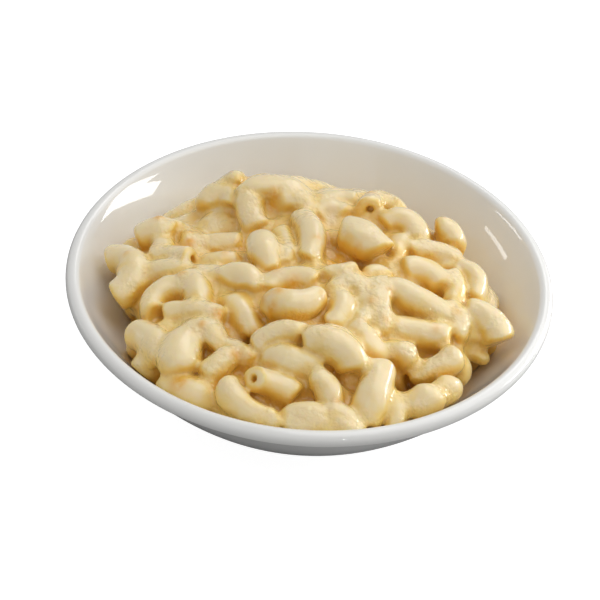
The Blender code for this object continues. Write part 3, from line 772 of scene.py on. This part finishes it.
def makeMacaroni():
    cell = sauce["cell"]
    rng = np.random.default_rng(sauce["seed"])
    low, shape, x, y, z = makeGrid()
    field = bedField(rng, shape, x, y, z)
    crease = joinElbows(field, rng, low, x, y, z)
    print("macaroni: elbows joined in a field of", field.size, "cells")
    field += swell(rng, shape, sauce["swells"])
    grain = sauce["grain"] + sauce["creaseGrain"] * crease
    field += grain * latticeNoise(rng, shape, cell, sauce["grainWave"])
    orange = crumbMap(x, y)
    field -= sauce["fleckRise"] * orange
    field = trimField(field, x, y, z)
    points, quads = surfaceNet(field, low, cell)
    points, quads, fan = fanUnderside(points, quads, heap["bottom"])
    piece = makeMesh("macaroni", points, quads)
    addTriangles(piece, fan)
    # How deep each point lies under the backs, for the material's painted shade.
    depth = (backsHeight(points[:, 0], points[:, 1]) - points[:, 2]) / sauce["deepest"]
    onFloor = points * [1, 1, 0] + [0, 0, low[2]]
    putAttribute(piece, "crease", sampleGrid(crease, points, low, cell))
    putAttribute(piece, "depth", np.clip(depth, 0, 1))
    putAttribute(piece, "fleck", sampleGrid(orange.repeat(2, 2), onFloor, low, cell))
    # How closed in each point is, for the material's painted shade.
    putAttribute(piece, "hollowShade", paintedHollowShade(field, points, low, cell))
    print("macaroni:", len(points), "points,", 2 * len(quads) + len(fan), "triangles")
    return piece


core = {
    "top": 22.0,  # its top lies inside the macaroni
    "gap": 0.4,  # to the bowl
    "edge": 0.5,
    "rings": 40,
    "sides": 96,
}


def coreProfile():  # the half section from the middle of its top, over the edge and down the bowl's inside
    radii = np.linspace(0.02, 0.98, core["rings"]) * rollPoint(bowl["innerTurn"])[0]
    heights = insideHeight(radii) + core["gap"]
    low = heights < core["top"] - core["edge"]
    side = np.column_stack([radii[low], heights[low]])
    width = side[-1, 0]
    return np.vstack([[[width / 2, core["top"]], [width, core["top"]]], side[::-1]])


def nodeMaterial(name):
    material = bpy.data.materials.new(name)
    material.use_nodes = True
    tree = material.node_tree
    shader = tree.nodes["Principled BSDF"]
    return material, tree, shader


def link(tree, output, target):
    tree.links.new(output, target)


def ramp(tree, source, stops):  # a colour ramp read from a value
    node = tree.nodes.new("ShaderNodeValToRGB")
    link(tree, source, node.inputs["Fac"])
    elements = node.color_ramp.elements
    while len(elements) < len(stops):
        elements.new(0.5)
    for element, (place, colour) in zip(elements, stops):
        element.position = place
        element.color = (*colour, 1)
    return node.outputs["Color"]


def noise(tree, scale, detail=3, roughness=0.5):
    coordinates = tree.nodes.new("ShaderNodeTexCoord")
    node = tree.nodes.new("ShaderNodeTexNoise")
    node.inputs["Scale"].default_value = scale
    node.inputs["Detail"].default_value = detail
    node.inputs["Roughness"].default_value = roughness
    link(tree, coordinates.outputs["Object"], node.inputs["Vector"])
    return node.outputs["Fac"]


def mix(tree, factor, first, second, blend="MIX"):
    node = tree.nodes.new("ShaderNodeMix")
    node.data_type = "RGBA"
    node.blend_type = blend
    if isinstance(factor, (int, float)):
        node.inputs["Factor"].default_value = factor
    else:
        link(tree, factor, node.inputs["Factor"])
    for value, socket in ((first, node.inputs[6]), (second, node.inputs[7])):
        if isinstance(value, tuple):
            socket.default_value = (*value, 1)
        else:
            link(tree, value, socket)
    return node.outputs[2]


def math2(tree, operation, first, second):
    node = tree.nodes.new("ShaderNodeMath")
    node.operation = operation
    for value, socket in ((first, node.inputs[0]), (second, node.inputs[1])):
        if isinstance(value, (int, float)):
            socket.default_value = value
        else:
            link(tree, value, socket)
    return node.outputs[0]


def addBump(tree, height, strength, target, under=None):  # heights in mm, over another bump if one is given
    node = tree.nodes.new("ShaderNodeBump")
    node.inputs["Strength"].default_value = strength
    node.inputs["Distance"].default_value = mm
    link(tree, height, node.inputs["Height"])
    if under:
        link(tree, under, node.inputs["Normal"])
    link(tree, node.outputs["Normal"], target)
    return node.outputs["Normal"]


def readAttribute(tree, name):
    node = tree.nodes.new("ShaderNodeAttribute")
    node.attribute_name = name
    return node.outputs["Fac"]


def glazeMaterial():
    material, tree, shader = nodeMaterial("whiteGlaze")
    tone = ramp(tree, noise(tree, 35, 2), [(0.3, (0.845, 0.84, 0.815)), (0.7, (0.87, 0.865, 0.84))])
    # Sauce smeared on the wall beside the heap, and further out painted yellow bounce light from the heap,
    # both in the sauce's colour.
    blotches = math2(tree, "ADD", noise(tree, 90, 4, 0.6), 0.25)
    smearAndBounceShare = math2(tree, "MULTIPLY", readAttribute(tree, "smearAndBounce"), blotches)
    tone = mix(tree, smearAndBounceShare, tone, (0.86, 0.70, 0.40))
    link(tree, tone, shader.inputs["Base Color"])
    shader.inputs["Roughness"].default_value = 0.35
    shader.inputs["IOR"].default_value = 1.5
    shader.inputs["Coat Weight"].default_value = 1.0
    shader.inputs["Coat Roughness"].default_value = 0.02
    addBump(tree, noise(tree, 60, 1), 0.06, shader.inputs["Normal"])
    return material


def pastaMaterial():
    material, tree, shader = nodeMaterial("saucedPasta")
    # Painted shade: the pasta's colour deepens from pale on open backs to gold in closed-in hollows, on
    # sides and on undersides; the mottle is tone that differs at random.
    hollowShade = readAttribute(tree, "hollowShade")
    mottle = math2(tree, "SUBTRACT", noise(tree, 130, 4, 0.6), 0.5)
    depth = math2(tree, "ADD", hollowShade, math2(tree, "MULTIPLY", mottle, 0.5))
    colour = ramp(tree, depth, [  # painted shade, from open backs to closed-in hollows
        (0.04, (0.90, 0.735, 0.42)),
        (0.22, (0.89, 0.66, 0.22)),
        (0.48, (0.87, 0.57, 0.105)),
        (0.85, (0.79, 0.47, 0.06)),
    ])
    # Sauce gathered in the creases, in a deeper gold that also stands in for painted shade in them.
    sauce = ramp(tree, noise(tree, 300, 4), [(0.35, (0.84, 0.58, 0.19)), (0.6, (0.89, 0.69, 0.32))])
    sauceAndShadeInCreases = math2(tree, "MULTIPLY", readAttribute(tree, "crease"), 0.35)
    colour = mix(tree, sauceAndShadeInCreases, colour, sauce)
    # Painted shade: the colour darkens the deeper a point lies under the elbows' backs.
    depthShade = ramp(tree, readAttribute(tree, "depth"), [
        (0.3, (1, 1, 1)),
        (0.55, (0.90, 0.80, 0.55)),
        (0.9, (0.45, 0.28, 0.07)),
    ])
    colour = mix(tree, 1.0, colour, depthShade, "MULTIPLY")
    patchy = math2(tree, "MULTIPLY", noise(tree, 500, 2), 2.1)
    patchy = math2(tree, "MULTIPLY", readAttribute(tree, "fleck"), patchy)
    colour = mix(tree, patchy, colour, (0.80, 0.42, 0.03))
    link(tree, colour, shader.inputs["Base Color"])
    shader.inputs["Roughness"].default_value = 0.42
    shader.inputs["Subsurface Weight"].default_value = 0.6
    shader.inputs["Subsurface Radius"].default_value = (1.0, 0.8, 0.3)
    shader.inputs["Subsurface Scale"].default_value = 0.0022
    shader.inputs["Coat Weight"].default_value = 1.0
    shader.inputs["Coat Roughness"].default_value = 0.08
    shader.inputs["Coat IOR"].default_value = 1.5
    # Lumps in the sauce and finer grains in its wet coat come in clusters, most of all in the creases.
    clusters = math2(tree, "MULTIPLY", readAttribute(tree, "crease"), 0.3)
    clusters = math2(tree, "ADD", noise(tree, 110, 2), clusters)
    clusters = ramp(tree, clusters, [(0.50, (0.12, 0.12, 0.12)), (0.70, (1, 1, 1))])
    lumps = math2(tree, "MULTIPLY", math2(tree, "SUBTRACT", noise(tree, 480, 2), 0.5), clusters)
    grains = math2(tree, "MULTIPLY", math2(tree, "SUBTRACT", noise(tree, 800, 1), 0.5), clusters)
    lumpy = addBump(tree, lumps, 0.75, shader.inputs["Normal"])
    addBump(tree, grains, 0.6, shader.inputs["Coat Normal"], lumpy)
    return material


def coreMaterial():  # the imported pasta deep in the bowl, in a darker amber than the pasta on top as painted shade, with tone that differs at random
    material, tree, shader = nodeMaterial("shadedPackedPasta")
    tone = ramp(tree, noise(tree, 150, 4), [(0.35, (0.52, 0.29, 0.06)), (0.65, (0.72, 0.48, 0.16))])
    link(tree, tone, shader.inputs["Base Color"])
    shader.inputs["Roughness"].default_value = 0.4
    addBump(tree, noise(tree, 300, 3), 0.6, shader.inputs["Normal"])
    return material


def floorMaterial():
    material, tree, shader = nodeMaterial("paleFloor")
    shader.inputs["Base Color"].default_value = (0.35, 0.35, 0.35, 1)
    shader.inputs["Roughness"].default_value = 0.6
    shader.inputs["Emission Color"].default_value = (1, 1, 1, 1)
    # The floor glows for the eye alone, so that it stays white without lighting the bowl from below.
    eye = tree.nodes.new("ShaderNodeLightPath").outputs["Is Camera Ray"]
    link(tree, math2(tree, "MULTIPLY", eye, 0.9), shader.inputs["Emission Strength"])
    return material


studio = {
    "elevation": 39.9,  # of the camera, in degrees
    "roll": 4.34,
    "distance": 460.0,
    "offset": (-2.84, -7.45),  # of the camera across its view
    "aim": (0.0, 0.0, 35.9),
    "lens": 100.75,
    "nearest": 0.01,  # that the camera sees, in metres
    "floorHalf": 1500.0,
    "room": 0.45,  # light from all sides
    "roomShine": 0.27,  # more of it for what shines, as among white walls
    "softboxes": [  # name, place, direction of its long side, direction of its back, size in metres, watts
        ("window", (0.56, 0.117, 0.183), (-0.912, 0.223, -0.344), (-0.206, 0.475, 0.855), (0.70, 0.232),
         4.6),
        ("top", (0.5, 0.25, 0.95), (1, 0, 0), (0.5, 0.25, 0.95), (1.2, 1.2), 5.0),
        ("front", (-0.2, -0.8, 1.0), (1, 0, 0), (-0.2, -0.8, 1.0), (0.8, 0.8), 0.9),
        ("back", (0.25, 0.8, 0.75), (1, 0, 0), (0.25, 0.8, 0.75), (0.35, 0.35), 0.7),
        ("spark", (0.26, -0.72, 0.5), (1, 0, 0), (0.29, -0.8, 0.53), (0.025, 0.025), 0.1),
        ("strip", (-0.824, 0.285, 0.25), (0.279, 0.867, -0.41), (-0.916, 0.317, 0.247), (0.327, 0.014),
         0.08),
    ],
}


def addCamera():  # at its distance from the aim, turned by its roll and then moved across its view
    elevation, roll = math.radians(studio["elevation"]), math.radians(studio["roll"])
    ahead = np.array([0, math.cos(elevation), -math.sin(elevation)])
    level = np.array([1.0, 0, 0])
    over = np.cross(level, ahead)
    right = math.cos(roll) * level + math.sin(roll) * over
    up = -math.sin(roll) * level + math.cos(roll) * over
    place = np.array(studio["aim"]) - ahead * studio["distance"]
    place = (place + right * studio["offset"][0] + up * studio["offset"][1]) * mm
    data = bpy.data.cameras.new("camera")
    data.lens = studio["lens"]
    data.clip_start = studio["nearest"]
    camera = bpy.data.objects.new("camera", data)
    turn = Matrix([right, up, -ahead]).transposed().to_4x4()
    camera.matrix_world = Matrix.Translation(Vector(place)) @ turn
    scene.collection.objects.link(camera)
    scene.camera = camera


def addSoftbox(name, place, along, back, size, power):  # it shines away from its back
    data = bpy.data.lights.new(name, "AREA")
    data.shape = "RECTANGLE"
    data.size, data.size_y = size
    data.energy = power
    back = Vector(back).normalized()
    across = back.cross(Vector(along)).normalized()
    turn = Matrix([across.cross(back), across, back]).transposed().to_4x4()
    lamp = bpy.data.objects.new(name, data)
    lamp.matrix_world = Matrix.Translation(Vector(place)) @ turn
    scene.collection.objects.link(lamp)


def addStage():
    half = studio["floorHalf"]
    corners = [[-half, -half, 0], [half, -half, 0], [half, half, 0], [-half, half, 0]]
    floor = makeMesh("floor", corners, [[0, 1, 2, 3]])
    floor.data.materials.append(floorMaterial())
    world = bpy.data.worlds.new("studio")
    world.use_nodes = True
    tree = world.node_tree
    background = tree.nodes["Background"]
    background.inputs["Color"].default_value = (1, 1, 1, 1)
    shine = tree.nodes.new("ShaderNodeLightPath").outputs["Is Glossy Ray"]
    glow = math2(tree, "ADD", math2(tree, "MULTIPLY", shine, studio["roomShine"]), studio["room"])
    link(tree, glow, background.inputs["Strength"])
    scene.world = world
    for softbox in studio["softboxes"]:
        addSoftbox(*softbox)
    scene.view_settings.view_transform = "Standard"


def main():
    glaze, pasta = glazeMaterial(), pastaMaterial()
    bowlPiece, points = turnProfile("glazedBowl", bowlProfile(), bowl["sides"])
    putAttribute(bowlPiece, "smearAndBounce", sauceSmearAndBounce(points))
    bowlPiece.data.materials.append(glaze)
    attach(bowlPiece, "root")
    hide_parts("bowl")
    print("bowl: turned")

    macaroni = makeMacaroni()
    macaroni.data.materials.append(pasta)
    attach(macaroni, "root")
    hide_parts("macaroni_heap")

    corePiece, points = turnProfile("macaroniCore", coreProfile(), core["sides"])
    corePiece.data.materials.append(coreMaterial())
    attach(corePiece, "root")
    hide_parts("macaroni_heap")
    print("core: turned")

    addStage()
    addCamera()
    print("stage: lit")


main()
